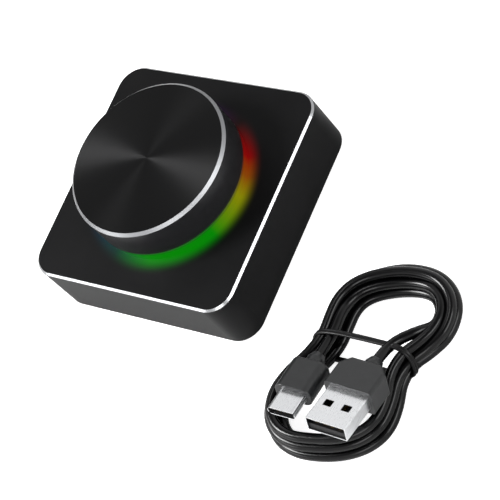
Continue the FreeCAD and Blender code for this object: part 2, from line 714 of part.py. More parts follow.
def make_encoder_rotor():
    """A disc with a notched crown, driven by the spindle's two flats."""
    body = new_body("encoder_rotor")
    low = ROTOR_BASE
    disc_top = "(%s + 0.8)" % ROTOR_BASE
    revolve(body, [("0", low), (CAVITY + " - 0.2", low), (CAVITY + " - 0.2", ROTOR_TOP), (FLANGE_RADIUS + " + 0.25", ROTOR_TOP),
                   (FLANGE_RADIUS + " + 0.25", disc_top), ("0", disc_top)])
    keyhole = new_sketch(body, "XY_Plane", disc_top)
    flat_outline(keyhole, "(spindle_radius + running_gap)", "(spindle_flat + running_gap)", both=True)
    pocket(body, keyhole, "0.8")
    notch = new_sketch(body, "YZ_Plane", "0")
    polygon(notch, [("-0.3", ROTOR_TOP + " + 0.1"), ("0", ROTOR_TOP + " - 0.35"), ("0.3", ROTOR_TOP + " + 0.1")])
    repeat_around(body, pocket(body, notch, CAVITY, up=True), "detents")


def flat_outline(sketch, radius, flat, both):
    """A circle cut by one flat on its +X side, or by two facing flats."""
    up = FreeCAD.Vector(0, 0, 1)
    half = math.acos(size(flat) / size(radius))
    first = sketch.GeometryCount
    spans = [(half, math.pi - half), (math.pi + half, 2 * math.pi - half)] if both else [(half, 2 * math.pi - half)]
    for start, end in spans:
        sketch.addGeometry(Part.ArcOfCircle(Part.Circle(FreeCAD.Vector(), up, size(radius)), start, end), False)
    count = len(spans)
    for i in range(count):
        arc_end = sketch.Geometry[first + i].EndPoint
        next_start = sketch.Geometry[first + (i + 1) % count].StartPoint
        sketch.addGeometry(Part.LineSegment(arc_end, next_start), False)
    for i in range(count):
        line = first + count + i
        sketch.addConstraint(Sketcher.Constraint("Coincident", first + i, 2, line, 1))
        sketch.addConstraint(Sketcher.Constraint("Coincident", line, 2, first + (i + 1) % count, 1))
        sketch.addConstraint(Sketcher.Constraint("Coincident", first + i, 3, -1, 1))
        dimension(sketch, "Radius", (first + i,), radius)
        sketch.addConstraint(Sketcher.Constraint("Vertical", line))
        dimension(sketch, "DistanceX", (-1, 1, line, 1), "-" + flat if both and i == 0 else flat)


def make_encoder_shaft():
    body = new_body("encoder_shaft")
    flange_top = "(%s - %s - running_gap)" % (BODY_TOP, BUSHING_FLANGE)
    flange_low = "(%s - %s)" % (flange_top, FLANGE_THICK)
    revolve(body, [("0", flange_low), (FLANGE_RADIUS, flange_low), (FLANGE_RADIUS, flange_top), ("shaft_radius", flange_top),
                   ("shaft_radius", SHAFT_TOP + " - 0.5"), ("shaft_radius - 0.5", SHAFT_TOP), ("0", SHAFT_TOP)])
    spindle = new_sketch(body, "XY_Plane", flange_low)
    flat_outline(spindle, "spindle_radius", "spindle_flat", both=True)
    pad(body, spindle, "%s - %s" % (flange_low, SPINDLE_TIP), down=True)
    flat = new_sketch(body, "XY_Plane", SHAFT_TOP)
    half = "(shaft_radius + 1)"
    polygon(flat, [("shaft_flat", "-" + half), (half, "-" + half), (half, half), ("shaft_flat", half)])
    pocket(body, flat, "%s - %s - 0.4" % (SHAFT_TOP, BUSHING_TOP))


def make_switch_dome():
    """The snap dome under the spindle: a thin turned cap."""
    body = new_body("switch_dome")
    low = DOME_BASE
    sheet_thick = "0.12"
    rim = "3.0"
    crown = "1.5"
    revolve(body, [("0", low + " + %s - %s" % (DOME_HEIGHT, sheet_thick)), (crown, low + " + 0.6 - " + sheet_thick),
                   (rim, low), (rim, low + " + " + sheet_thick), (crown, low + " + 0.6"), ("0", low + " + " + DOME_HEIGHT)])


# ---- the knob ----

def make_knob_cap():
    """A cup turned from solid aluminium: a bevelled face, a skirt and a shallow seat for the hub."""
    body = new_body("knob_cap")
    inside = "(knob_radius - knob_wall)"
    lip = "0.3"
    revolve(body, [
        ("0", FACE_UNDERSIDE), (inside, FACE_UNDERSIDE), (inside, KNOB_BOTTOM + " + " + lip),
        (inside + " + " + lip, KNOB_BOTTOM), ("knob_radius - " + lip, KNOB_BOTTOM),
        ("knob_radius", KNOB_BOTTOM + " + " + lip), ("knob_radius", KNOB_TOP + " - knob_chamfer"),
        ("knob_radius - knob_chamfer", KNOB_TOP), ("0", KNOB_TOP)])


def make_knob_hub():
    """A moulded insert: a plate under the knob's face, a boss on the shaft and ribs between them."""
    body = new_body("knob_hub")
    plate_low = "(%s - hub_plate)" % FACE_UNDERSIDE
    boss_low = "(%s + press_travel + hub_gap)" % BUSHING_TOP
    plate_radius = "(knob_radius - knob_wall - seat_gap)"
    revolve(body, [("0", boss_low), ("hub_radius", boss_low), ("hub_radius", plate_low), (plate_radius, plate_low),
                   (plate_radius, FACE_UNDERSIDE), ("0", FACE_UNDERSIDE)])
    rib = new_sketch(body, "XY_Plane", plate_low)
    inner = "(hub_radius * 0.8)"
    polygon(rib, [(inner, "-rib_thick / 2"), (plate_radius + " - 1", "-rib_thick / 2"),
                  (plate_radius + " - 1", "rib_thick / 2"), (inner, "rib_thick / 2")])
    repeat_around(body, pad(body, rib, "rib_drop", down=True), "rib_count")
    bore = new_sketch(body, "XY_Plane", boss_low)
    flat_outline(bore, "(shaft_radius + 0.02)", "(shaft_flat + 0.02)", both=False)
    pocket(body, bore, "%s - %s + 0.1" % (SHAFT_TOP, boss_low), up=True)


# ---- the loose cable ----

# Each plug is modelled with its mouth towards -Y, its origin in the front face of its moulded
# body, and is laid on the coil by the placement here: turn about Z, nose up, and lean to the right.
PLUG_LAY = {
    "usb_c": {"at": (63.0, -50.0, 15.3), "turn": 3.0, "nose_up": 20.0, "lean": 6.0},
    "usb_a": {"at": (80.0, -47.2, 16.3), "turn": 0.0, "nose_up": 22.0, "lean": 4.0},
}

# The middle of the tied coil's bundle of turns, seen from above, from the left of the tie
# round the far lobe to its right, and back round the near lobe.
COIL_LINE = [
    (60.3, -29.2), (59.9, -23.4), (59.8, -18.4), (61.7, -13.9), (66.5, -10.2), (75.0, -7.2), (84.0, -7.2),
    (89.8, -12.2), (90.6, -19.1), (87.4, -24.6), (83.6, -29.0), (82.3, -35.5), (84.3, -42.7), (84.2, -48.8),
    (81.0, -53.5), (75.5, -56.8), (68.5, -58.7), (61.5, -59.3), (55.7, -57.5), (52.0, -53.1), (51.4, -47.2),
    (54.0, -41.0), (58.0, -35.3),
]


def plug_place(plug):
    lay = PLUG_LAY[plug]
    turn = FreeCAD.Rotation(FreeCAD.Vector(0, 0, 1), lay["turn"])
    nose = FreeCAD.Rotation(FreeCAD.Vector(1, 0, 0), -lay["nose_up"])
    lean = FreeCAD.Rotation(FreeCAD.Vector(0, 1, 0), lay["lean"])
    return FreeCAD.Placement(FreeCAD.Vector(*lay["at"]), turn * nose * lean)


def laid(piece, plug):
    piece.Placement = plug_place(plug)
    return piece


def stadium(sketch, wide, high, inset="0"):
    half_high = "((%s) / 2 - (%s))" % (high, inset)
    rounded_rectangle(sketch, "((%s) / 2 - (%s))" % (wide, inset), half_high, half_high + " - 0.01")


def neck(body, rear):
    """The strain relief: a short collar and a taper, turned about the plug's long axis."""
    sketch = new_sketch(body, "XY_Plane")
    polygon(sketch, [("0", rear + " - 1"), ("neck_radius", rear + " - 1"), ("neck_radius", rear + " + neck_length * 0.5"),
                     ("neck_tip_radius", rear + " + neck_length"), ("0", rear + " + neck_length")])
    feature = body.newObject("PartDesign::Revolution", body.Name + "_neck")
    feature.Profile = sketch
    feature.ReferenceAxis = (sketch, ["V_Axis"])
    feature.Angle = 360
    doc.recompute()


def make_usb_c_plug():
    shell = new_body("usb_c_plug_shell")
    outline = new_sketch(shell, "XZ_Plane", "c_length")
    stadium(outline, "c_width", "c_height")
    pad(shell, outline, "c_length + shell_seat", down=True)
    inside = new_sketch(shell, "XZ_Plane", "c_length")
    stadium(inside, "c_width", "c_height", "shell_sheet")
    pocket(shell, inside, "c_length + shell_seat")
    laid(shell, "usb_c")

    liner = new_body("usb_c_plug_liner")
    filling = new_sketch(liner, "XZ_Plane", "c_length - 0.5")
    stadium(filling, "c_width", "c_height", "shell_sheet + 0.02")
    pad(liner, filling, "c_length - 0.5 + shell_seat", down=True)
    slot = new_sketch(liner, "XZ_Plane", "c_length - 0.5")
    stadium(slot, "c_width - 1.5", "c_height - 1.2")
    pocket(liner, slot, "c_length - 1.5")
    laid(liner, "usb_c")

    fingers = []
    for i in range(4):
        for level in ("c_height / 2 - 0.7", "0.6 - c_height / 2"):
            fingers.append(block("c_finger_%d" % len(fingers), "0.35", "c_length - 2", "0.1", "(%d - 1.5) * 1.2" % i,
                                 "-c_length / 2 - 0.1", level))
    laid(group("usb_c_plug_contacts", fingers), "usb_c")

    body = new_body("usb_c_plug_body")
    outline = new_sketch(body, "XZ_Plane", "0")
    rounded_rectangle(outline, "c_body_width / 2", "c_body_height / 2", "c_body_height * 0.42")
    pad(body, outline, "c_body_length", down=True)
    rear = size("c_body_length")
    ease(body, "Fillet", "1.0", lambda e: abs(e.BoundBox.YMin - rear) < 1e-4)
    ease(body, "Fillet", "0.35", lambda e: abs(e.BoundBox.YMax) < 1e-4)
    neck(body, "c_body_length")
    seat = new_sketch(body, "XZ_Plane", "0")
    stadium(seat, "c_width", "c_height", "-0.01")
    pocket(body, seat, "shell_seat + 0.05")
    laid(body, "usb_c")


def make_usb_a_plug():
    shell = new_body("usb_a_plug_shell")
    outline = new_sketch(shell, "XZ_Plane", "a_length")
    rounded_rectangle(outline, "a_width / 2", "a_height / 2", "0.4")
    pad(shell, outline, "a_length + shell_seat", down=True)
    inside = new_sketch(shell, "XZ_Plane", "a_length")
    rounded_rectangle(inside, "a_width / 2 - shell_sheet", "a_height / 2 - shell_sheet", "0.05")
    pocket(shell, inside, "a_length + shell_seat")
    windows = new_sketch(shell, "XY_Plane", "a_height / 2")
    for side in ("", "-"):
        rounded_rectangle(windows, "1.25", "1.1", "0.15", side + "2.75", "-a_length * 0.45")
    pocket(shell, windows, "a_height")
    laid(shell, "usb_a")

    tongue = new_body("usb_a_plug_tongue")
    profile = new_sketch(tongue, "XZ_Plane", "a_length - 0.4")
    half = "(a_width / 2 - shell_sheet - 0.02)"
    low = "(0.02 + shell_sheet - a_height / 2)"
    polygon(profile, [("-" + half, low), (half, low), (half, "-0.1"), ("-" + half, "-0.1")])
    pad(tongue, profile, "a_length - 0.4 + shell_seat", down=True)
    laid(tongue, "usb_a")

    strips = []
    for i, x in enumerate(("-3.5", "-1.0", "1.0", "3.5")):
        strips.append(block("a_contact_%d" % i, "1.0", "a_length - 2.5", "0.1", x, "-a_length / 2", "-0.1"))
    laid(group("usb_a_plug_contacts", strips), "usb_a")

    body = new_body("usb_a_plug_body")
    plan = new_sketch(body, "XY_Plane", "0")
    half = "a_body_width / 2"
    polygon(plan, [("-" + half, "0"), (half, "0"), (half, "a_body_length * 0.72"), (half + " - 2.6", "a_body_length"),
                   ("2.6 - " + half, "a_body_length"), ("-" + half, "a_body_length * 0.72")])
    pad(body, plan, "a_body_height", middle=True)
    reach = size("a_body_height / 2")
    ease(body, "Fillet", "0.9", lambda e: abs(e.BoundBox.ZMax - e.BoundBox.ZMin) > 1
         and e.BoundBox.YMin > 0.1)
    ease(body, "Fillet", "1.1", lambda e: abs(abs(e.BoundBox.ZMin) - reach) < 1e-4
         and e.BoundBox.ZLength < 1e-4 and e.BoundBox.YMax > 0.1)
    neck(body, "a_body_length")
    seat = new_sketch(body, "XZ_Plane", "0")
    rounded_rectangle(seat, "a_width / 2 + 0.01", "a_height / 2 + 0.01", "0.41")
    pocket(body, seat, "shell_seat + 0.05")
    laid(body, "usb_a")


def tube_along(points, radius):
    """A plain tube: straight runs joined by arcs as large as the runs beside them allow."""
    edges = []
    start = points[0]
    length = 0.0
    for before, corner, after in zip(points, points[1:], points[2:]):
        run_in = before - corner
        run_out = after - corner
        turn = math.pi - run_in.getAngle(run_out)
        cut = 0.45 * min(run_in.Length, run_out.Length)
        bend = cut / math.tan(turn / 2)
        arc_start = corner + run_in * (cut / run_in.Length)
        arc_end = corner + run_out * (cut / run_out.Length)
        inward = (run_in * (1 / run_in.Length) + run_out * (1 / run_out.Length)).normalize()
        centre = corner + inward * (bend / math.cos(turn / 2))
        arc_middle = centre - inward * bend
        edges.append(Part.LineSegment(start, arc_start).toShape())
        edges.append(Part.Arc(arc_start, arc_middle, arc_end).toShape())
        length += (arc_start - start).Length + bend * turn
        start = arc_end
        print("cable bend radius %.1f mm" % bend)
    edges.append(Part.LineSegment(start, points[-1]).toShape())
    length += (points[-1] - start).Length
    path = Part.Wire(edges)
    section = Part.Wire(Part.Circle(points[0], points[1] - points[0], radius).toShape())
    tube = path.makePipeShell([section], True, False)
    print("tube volume %.1f, section times length %.1f" % (tube.Volume, math.pi * radius ** 2 * length))
    return tube


# Where the free ends run after they leave the plugs' necks: over the turns and under the tie.
LEAD_ROUTES = {
    "cable_lead_c": [(61.9, -27.2, 7.6), (61.2, -22.5, 6.9)],
    "cable_lead_a": [(82.0, -25.8, 8.0), (85.8, -22.2, 7.0)],
}


def make_cable_leads():
    """The two free ends, from each plug's neck into the tied bundle of turns."""
    for name, plug, rear in (("cable_lead_c", "usb_c", "c_body_length + neck_length"),
                             ("cable_lead_a", "usb_a", "a_body_length + neck_length")):
        placement = plug_place(plug)
        points = [placement.multVec(FreeCAD.Vector(0, size(rear) + ahead, 0)) for ahead in (0, 4.6)]
        points += [FreeCAD.Vector(*spot) for spot in LEAD_ROUTES[name]]
        piece = doc.addObject("Part::Feature", name)
        piece.Shape = tube_along(points, size("cable_diameter / 2"))
        node(piece)


def coil_outline(offset):
    """A closed smooth curve along the coil's bundle, moved outwards by offset."""
    count = len(COIL_LINE)
    points = []
    for i, (x, y) in enumerate(COIL_LINE):
        ahead = COIL_LINE[(i + 1) % count]
        behind = COIL_LINE[i - 1]
        along = FreeCAD.Vector(ahead[0] - behind[0], ahead[1] - behind[1], 0).normalize()
        outward = FreeCAD.Vector(-along.y, along.x, 0)
        points.append(FreeCAD.Vector(x, y, 0) + outward * offset)
    curve = Part.BSplineCurve()
    curve.interpolate(points, PeriodicFlag=True)
    return Part.Wire(curve.toShape())


# The tie leans: it crosses the bundle's top further back than its underside.
TIE_LEFT = 56.3
TIE_RIGHT = 88.0
TIE_FRONT = -33.6
TIE_LEAN = 5.6


def tie_form(grow):
    """The closed band round both sides of the coil, grown by a clearance on every side."""
    thick = size("tie_thick")
    high = size("tie_height")
    slant = math.hypot(TIE_LEAN, high)
    lift = size("tie_width / 2") * TIE_LEAN / slant
    middle = FreeCAD.Vector((TIE_LEFT + TIE_RIGHT) / 2, TIE_FRONT + TIE_LEAN / 2, high / 2 + lift)
    up = FreeCAD.Vector(0, TIE_LEAN, high).normalize()
    right = FreeCAD.Vector(1, 0, 0)
    rings = []
    for inset in (-grow, thick + grow):
        half_wide = (TIE_RIGHT - TIE_LEFT) / 2 - inset
        half_high = slant / 2 - inset
        bend = min(half_high - 0.05, 4.2 - inset)
        rings.append(rounded_loop(middle, right, up, half_wide, half_high, bend))
    band = Part.Face(rings[0]).cut(Part.Face(rings[1]))
    normal = right.cross(up)
    width = size("tie_width") + 2 * grow
    band.translate(normal * (-width / 2))
    return band.extrude(normal * width)


def rounded_loop(middle, right, up, half_wide, half_high, bend):
    """A rounded rectangle in the plane of right and up."""
    edges = []
    spots = []
    for sx, sy in ((1, 1), (-1, 1), (-1, -1), (1, -1)):
        centre = middle + right * (sx * (half_wide - bend)) + up * (sy * (half_high - bend))
        side_point = centre + right * (sx * bend)
        level_point = centre + up * (sy * bend)
        corner_point = centre + (right * sx + up * sy).normalize() * bend
        ends = (side_point, level_point) if sx * sy > 0 else (level_point, side_point)
        edges.append(Part.Arc(ends[0], corner_point, ends[1]).toShape())
        spots.append(ends)
    for i in range(4):
        edges.append(Part.LineSegment(spots[i][1], spots[(i + 1) % 4][0]).toShape())
    return Part.Wire(Part.__sortEdges__(edges))


def make_cable_coil():
    """The wound turns as one closed form: the outline of the tied bundle, rounded on top."""
    half = size("bundle_width / 2")
    height = size("bundle_height")
    face = Part.Face(coil_outline(half)).cut(Part.Face(coil_outline(-half)))
    block_form = face.extrude(FreeCAD.Vector(0, 0, height))
    top_edges = [e for e in block_form.Edges if e.BoundBox.ZMin > height - 0.01]
    form = block_form.makeFillet(half * 0.8, top_edges)
    low_edges = [e for e in form.Edges if e.BoundBox.ZMax < 0.01]
    form = form.makeFillet(half * 0.3, low_edges)
    piece = doc.addObject("Part::Feature", "cable_coil")
    piece.Shape = form.cut(tie_form(0.1))
    node(piece)


def make_cable_tie():
    piece = doc.addObject("Part::Feature", "cable_tie")
    piece.Shape = tie_form(0)
    node(piece)


make_anti_slip_pad()
make_bottom_cover()
make_cover_screws()
make_counterweight()
make_base_housing()
make_light_ring()
make_main_board()
make_board_screws()
make_rgb_leds()
make_controller_chip()
make_small_components()
make_usb_c_port()
make_encoder_body()
make_encoder_frame()
make_encoder_bushing()
make_encoder_washer()
make_encoder_nut()
make_encoder_pins()
make_encoder_detent_spring()
make_encoder_rotor()
make_encoder_shaft()
make_switch_dome()
make_knob_cap()
make_knob_hub()
make_usb_c_plug()
make_usb_a_plug()
make_cable_leads()
make_cable_coil()
make_cable_tie()
doc.recompute()

for item in doc.Objects:
    if "Invalid" in item.State or "Error" in item.State:
        raise RuntimeError("%s did not compute: %s" % (item.Name, item.State))
for name, piece in NODES.items():
    if piece.Shape.isNull() or not piece.Shape.isValid() or not piece.Shape.Solids:
        raise RuntimeError("%s has no valid solid" % name)

os.makedirs("parts", exist_ok=True)
for name, piece in NODES.items():
    piece.Shape.exportStep("parts/%s.step" % name)
print("%d nodes written" % len(NODES))
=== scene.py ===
import bpy
import bmesh
import json
import math
import numpy as np
from mathutils import Matrix, Vector


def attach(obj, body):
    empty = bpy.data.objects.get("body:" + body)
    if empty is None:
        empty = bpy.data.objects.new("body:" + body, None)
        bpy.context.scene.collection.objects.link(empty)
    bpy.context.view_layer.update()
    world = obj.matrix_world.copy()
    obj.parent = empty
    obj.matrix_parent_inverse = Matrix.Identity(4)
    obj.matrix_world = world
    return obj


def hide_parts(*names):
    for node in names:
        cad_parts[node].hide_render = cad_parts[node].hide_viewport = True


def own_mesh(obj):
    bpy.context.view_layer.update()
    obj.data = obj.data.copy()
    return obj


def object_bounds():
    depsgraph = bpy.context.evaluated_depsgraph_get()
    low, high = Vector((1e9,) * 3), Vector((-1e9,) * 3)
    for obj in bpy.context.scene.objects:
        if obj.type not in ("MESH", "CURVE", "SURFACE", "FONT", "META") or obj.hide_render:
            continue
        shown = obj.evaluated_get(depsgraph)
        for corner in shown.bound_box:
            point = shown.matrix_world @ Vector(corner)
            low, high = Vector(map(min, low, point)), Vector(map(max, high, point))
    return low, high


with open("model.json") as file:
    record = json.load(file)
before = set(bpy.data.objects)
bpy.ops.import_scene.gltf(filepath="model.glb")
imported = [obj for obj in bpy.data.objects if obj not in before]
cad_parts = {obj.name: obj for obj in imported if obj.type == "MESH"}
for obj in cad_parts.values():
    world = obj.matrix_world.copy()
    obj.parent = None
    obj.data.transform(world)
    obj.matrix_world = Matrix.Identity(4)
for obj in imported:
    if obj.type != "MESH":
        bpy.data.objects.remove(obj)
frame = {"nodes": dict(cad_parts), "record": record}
cad_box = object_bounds()
NODES = frame["nodes"]
MILLIMETRES = 1000

# Sizes of the CAD model, in metres
BASE_HALF = 0.035
BASE_CORNER = 0.0073
BASE_TOP = 0.02015
EDGE = 0.0006
KNOB_RADIUS = 0.02447
KNOB_TOP = 0.0353
KNOB_EDGE = 0.00085
CABLE = 0.0030


# ---- shader helpers ----

# Below this sRGB value, from 0 to 255, the curve is a straight line
SRGB_KNEE = 10.3
# The share of the noise's scale that is left along the lines of brushed metal
STRETCH = 0.03


class Nodes:
    """A node tree, written as short calls."""

    def __init__(self, owner, output):
        self.owner = owner
        owner.use_nodes = True
        self.tree = owner.node_tree
        self.tree.nodes.clear()
        self.out = self.add(output)

    def add(self, kind, **settings):
        node = self.tree.nodes.new("ShaderNode" + kind)
        for key, value in settings.items():
            setattr(node, key, value)
        return node

    def link(self, source, target):
        self.tree.links.new(source, target)

    def feed(self, socket, item):
        if isinstance(item, bpy.types.NodeSocket):
            self.link(item, socket)
        else:
            socket.default_value = item

    def value(self, operation, *inputs):
        node = self.add("Math", operation=operation)
        for socket, item in zip(node.inputs, inputs):
            self.feed(socket, item)
        return node.outputs[0]

    def vector(self, operation, first, second):
        node = self.add("VectorMath", operation=operation)
        self.feed(node.inputs[0], first)
        self.feed(node.inputs[1], second)
        return node.outputs

    def parts(self, vector):
        """The three parts of a vector."""
        node = self.add("SeparateXYZ")
        self.link(vector, node.inputs[0])
        return tuple(node.outputs)

    def spot(self):
        """Object coordinates, which are the row's frame, and their three parts."""
        coordinates = self.add("TexCoord").outputs["Object"]
        return (coordinates, *self.parts(coordinates))

    def stretched(self, coordinates, along):
        """The same coordinates drawn out along one axis."""
        node = self.add("Mapping")
        node.inputs["Scale"].default_value = tuple(STRETCH if axis == along else 1.0 for axis in "xyz")
        self.link(coordinates, node.inputs[0])
        return node.outputs[0]

    def noise(self, coordinates, scale, detail, roughness=0.55):
        node = self.add("TexNoise")
        node.inputs["Scale"].default_value = scale
        node.inputs["Detail"].default_value = detail
        node.inputs["Roughness"].default_value = roughness
        self.link(coordinates, node.inputs["Vector"])
        return node.outputs["Fac"]

    def band(self, value, low, high, to_low=0.0, to_high=1.0, smooth=False):
        node = self.add("MapRange", clamp=True)
        if smooth:
            node.interpolation_type = "SMOOTHSTEP"
        self.feed(node.inputs["Value"], value)
        for key, number in (("From Min", low), ("From Max", high), ("To Min", to_low), ("To Max", to_high)):
            node.inputs[key].default_value = number
        return node.outputs["Result"]

    def ramp(self, value, stops):
        node = self.add("ValToRGB")
        elements = node.color_ramp.elements
        while len(elements) < len(stops):
            elements.new(0.5)
        for element, (position, color) in zip(elements, stops):
            element.position = position
            element.color = (*color, 1.0)
        self.feed(node.inputs[0], value)
        return node.outputs["Color"]

    def mix(self, factor, first, second, blend="MIX"):
        node = self.add("MixRGB", blend_type=blend)
        self.feed(node.inputs[0], factor)
        for socket, item in zip(node.inputs[1:], (first, second)):
            if isinstance(item, tuple):
                socket.default_value = (*item, 1.0)
            else:
                self.link(item, socket)
        return node.outputs[0]

    def mix_shaders(self, factor, first, second):
        """The first shader where the factor is 0, and the second where it is 1."""
        node = self.add("MixShader")
        for socket, item in zip(node.inputs, (factor, first, second)):
            self.link(item, socket)
        return node.outputs[0]

    def bump(self, height, strength, distance):
        node = self.add("Bump")
        node.inputs["Strength"].default_value = strength
        node.inputs["Distance"].default_value = distance
        self.link(height, node.inputs["Height"])
        return node.outputs[0]

    def shader(self, **inputs):
        node = self.add("BsdfPrincipled")
        for key, item in inputs.items():
            socket = node.inputs[key.replace("_", " ")]
            if isinstance(item, tuple) and len(item) == 3 and socket.type == "RGBA":
                item = (*item, 1.0)
            self.feed(socket, item)
        return node.outputs[0]

    def finish(self, shader):
        self.link(shader, self.out.inputs["Surface"])
        return self.owner


def material_nodes(name):
    return Nodes(bpy.data.materials.new(name), "OutputMaterial")


def srgb(red, green, blue):
    """An sRGB colour from 0 to 255 in linear light."""
    return tuple(((part / 255 + 0.055) / 1.055) ** 2.4 if part > SRGB_KNEE else part / 255 / 12.92
                 for part in (red, green, blue))


def grey(level):
    """The same level three times, for a grey or for a number that a colour mix carries."""
    return (level, level, level)


# ---- materials ----

# The ring's lamps: plain hues as shares of one level, where each stands about the knob's axis in degrees,
# and how strong it is there
GLOW_LEVEL = 130
LAMP_HUES = {
    "green": (0, 1, 0), "yellow": (1, 1, 0), "orange": (1, 0.5, 0), "red": (1, 0, 0),
    "violet": (0.5, 0, 1), "blue": (0, 0.2, 1), "teal": (0, 1, 0.8),
}
GLOW_ORDER = [
    (-180, "blue", 0.7), (-110, "teal", 0.4), (-80, "green", 1.0), (-30, "green", 1.0), (0, "yellow", 1.0),
    (15, "orange", 1.0), (30, "red", 1.0), (60, "red", 0.2), (110, "violet", 0.5), (180, "blue", 0.7),
]
# Where the light is full and where it is gone, in metres: radii of the glow painted on the base's top,
# heights of the glow painted on the knob and of the ring's own light
BASE_PAINTED_GLOW = (0.0240, 0.0295)
KNOB_PAINTED_GLOW = (0.0236, 0.0250)
RING_GLOW = (0.0222, 0.0240)
# The painted glow at the knob's lower edge, and the least light on the ring, as shares of the full light
KNOB_PAINTED_GLOW_SHARE = 0.3
RING_GLOW_LEAST = 0.3
# The knob shows no painted glow nearer to its axis than this
KNOB_PAINTED_GLOW_RADIUS = 0.022
# A bevel's look starts just inside its real border
BEVEL_SHARE = 0.98
KNOB_BEVEL_WIDE = 0.99
# How far from a face its own look still reaches
SIDE_MARGIN = 0.0004
TOP_MARGIN = 0.00005
OPENING_MARGIN = 0.00002
# The depth of the finest grain, in metres
GRAIN_DEPTH = 0.00003


def glow_color(nodes, x, y):
    """The light's colour by the angle about the knob's axis."""
    angle = nodes.value("ARCTAN2", y, x)
    turn = nodes.band(angle, -math.pi, math.pi)
    stops = [((degrees + 180) / 360, srgb(*(GLOW_LEVEL * share * part for part in LAMP_HUES[hue])))
             for degrees, hue, share in GLOW_ORDER]
    return nodes.ramp(turn, stops)


def radius_of(nodes, x, y):
    squares = nodes.value("ADD", nodes.value("MULTIPLY", x, x), nodes.value("MULTIPLY", y, y))
    return nodes.value("SQRT", squares)


def fade(nodes, measure, full, gone):
    """1 where the light is full, falling smoothly to 0 where it is gone."""
    near = nodes.band(measure, full, gone, 1.0, 0.0, smooth=True)
    return nodes.value("MULTIPLY", near, near)


def black_anodised(name):
    """Bead-blasted, black anodised aluminium with its upper edge cut bright, and the ring's light painted on
    it as a glow near the ring.
    """
    nodes = material_nodes(name)
    spot, x, y, z = nodes.spot()
    inner = BASE_HALF - BASE_CORNER
    out_x, out_y = (nodes.value("MAXIMUM", nodes.value("SUBTRACT", nodes.value("ABSOLUTE", part), inner), 0.0)
                    for part in (x, y))
    from_edge = nodes.value("SUBTRACT", BASE_CORNER, radius_of(nodes, out_x, out_y))
    near_edge = nodes.value("LESS_THAN", from_edge, EDGE * BEVEL_SHARE)
    high = nodes.value("GREATER_THAN", z, BASE_TOP - EDGE * BEVEL_SHARE)
    bevel = nodes.value("MULTIPLY", near_edge, high)
    grain = nodes.noise(spot, 9000.0, 2.0)
    cloud = nodes.noise(spot, 60.0, 3.0)
    black = nodes.ramp(cloud, [(0.3, srgb(13, 13, 14)), (0.7, srgb(18, 18, 19))])
    # The ring's light painted on the base's top as a glow: full under the knob's edge and gone a few
    # millimetres further out
    painted_glow_on_top = nodes.value("GREATER_THAN", z, BASE_TOP - TOP_MARGIN)
    painted_glow_spread = fade(nodes, radius_of(nodes, x, y), *BASE_PAINTED_GLOW)
    lit = nodes.mix(1.0, glow_color(nodes, x, y), painted_glow_spread, "MULTIPLY")
    surface = nodes.shader(
        Base_Color=nodes.mix(bevel, black, srgb(168, 169, 171)),
        Roughness=nodes.mix(bevel, nodes.band(grain, 0.2, 0.8, 0.36, 0.44), grey(0.25)),
        Metallic=nodes.value("MULTIPLY", bevel, 0.95),
        Normal=nodes.bump(grain, 0.12, 0.00005),
        Specular_IOR_Level=0.1,
        # The ring's glow is painted on the base's top as emission
        Emission_Color=nodes.mix(painted_glow_on_top, grey(0.0), lit),
        Emission_Strength=1.0)
    return nodes.finish(surface)


def spun_aluminium(name):
    """Black anodised aluminium turned on a lathe: fine circular grooves, a bright bevel, and the ring's glow
    painted on its lower edge.
    """
    nodes = material_nodes(name)
    spot, x, y, z = nodes.spot()
    radius = radius_of(nodes, x, y)
    high = nodes.value("GREATER_THAN", z, KNOB_TOP - KNOB_EDGE * BEVEL_SHARE)
    outer = nodes.value("GREATER_THAN", radius, KNOB_RADIUS - KNOB_EDGE * KNOB_BEVEL_WIDE)
    bevel = nodes.value("MULTIPLY", high, outer)
    side = nodes.value("GREATER_THAN", radius, KNOB_RADIUS - SIDE_MARGIN)
    outwards = nodes.add("CombineXYZ")
    nodes.link(radius, outwards.inputs[0])
    groove = nodes.noise(outwards.outputs[0], 9000.0, 4.0, 0.7)
    face = nodes.ramp(groove, [(0.3, srgb(9, 9, 10)), (0.7, srgb(15, 15, 16))])
    color = nodes.mix(side, face, srgb(46, 46, 48))
    metal = nodes.mix(side, grey(0.7), grey(0.2))
    tangent = nodes.add("Tangent", direction_type="RADIAL", axis="Z")
    # The ring's light is painted on the knob's lower edge as a glow. The painted glow stays with the base
    # while the knob turns, so its colour goes by the place and not by the knob
    painted_glow_outside = nodes.value("GREATER_THAN", radius, KNOB_PAINTED_GLOW_RADIUS)
    painted_glow_climb = nodes.value("MULTIPLY", fade(nodes, z, *KNOB_PAINTED_GLOW), KNOB_PAINTED_GLOW_SHARE)
    place = nodes.parts(nodes.add("NewGeometry").outputs["Position"])
    lit = nodes.mix(1.0, glow_color(nodes, place[0], place[1]), painted_glow_climb, "MULTIPLY")
    surface = nodes.shader(
        Base_Color=nodes.mix(bevel, color, srgb(132, 133, 135)),
        Roughness=nodes.mix(bevel, nodes.band(groove, 0.3, 0.7, 0.28, 0.36), grey(0.28)),
        Metallic=nodes.mix(bevel, metal, grey(0.95)),
        Normal=nodes.bump(groove, 0.25, GRAIN_DEPTH),
        Anisotropic=0.93,
        Specular_IOR_Level=0.5,
        Tangent=tangent.outputs[0],
        # The ring's glow is painted on the knob's lower edge as emission
        Emission_Color=nodes.mix(painted_glow_outside, grey(0.0), lit),
        Emission_Strength=1.0)
    return nodes.finish(surface)


